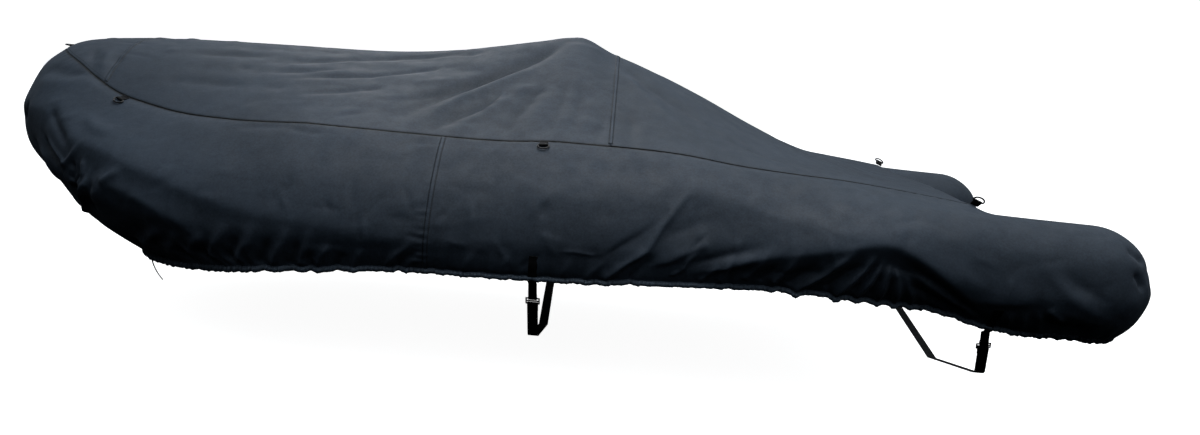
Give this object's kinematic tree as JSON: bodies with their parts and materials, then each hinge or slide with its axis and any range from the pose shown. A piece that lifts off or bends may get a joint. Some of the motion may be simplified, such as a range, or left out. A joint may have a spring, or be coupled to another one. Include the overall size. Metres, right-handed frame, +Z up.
{
  "type": "fitted boat cover",
  "caption": "Dark fitted cover for an inflatable boat, shown in use, with a peaked top, gathered hem, webbing straps under it and rings on tabs along its seams.",
  "frame": {"origin": "on the underside of the cloth at the peak of the top, where the cover is held up", "axes": "+X from the bow to the stern, +Y to starboard, +Z up"},
  "size_m": [4.1822, 1.857, 1.2029],
  "materials": {
    "coated_cloth": "matt woven",
    "webbing": "matt woven",
    "ring_plastic": "satin"
  },
  "bodies": {
    "root": {"aft_top": "coated_cloth", "bow_band": "coated_cloth", "bow_cap": "coated_cloth", "fore_top": "coated_cloth", "port_side": "coated_cloth", "starboard_side": "coated_cloth", "bow_tie": "webbing", "strap_middle": "webbing", "strap_stern": "webbing", "strap_tab_middle_port": "webbing", "strap_tab_middle_starboard": "webbing", "strap_tab_stern_port": "webbing", "strap_tab_stern_starboard": "webbing", "tab_bow_port": "webbing", "tab_bow_starboard": "webbing", "tab_bow_tip": "webbing", "tab_middle_port": "webbing", "tab_middle_starboard": "webbing", "tab_stern_port": "webbing", "tab_stern_starboard": "webbing", "ring_bow_port": "ring_plastic", "ring_bow_starboard": "ring_plastic", "ring_bow_tip": "ring_plastic", "ring_middle_port": "ring_plastic", "ring_middle_starboard": "ring_plastic", "ring_stern_port": "ring_plastic", "ring_stern_starboard": "ring_plastic", "buckle_middle_port": "ring_plastic", "buckle_middle_starboard": "ring_plastic", "buckle_stern_port": "ring_plastic", "buckle_stern_starboard": "ring_plastic"}
  },
  "joints": []
}
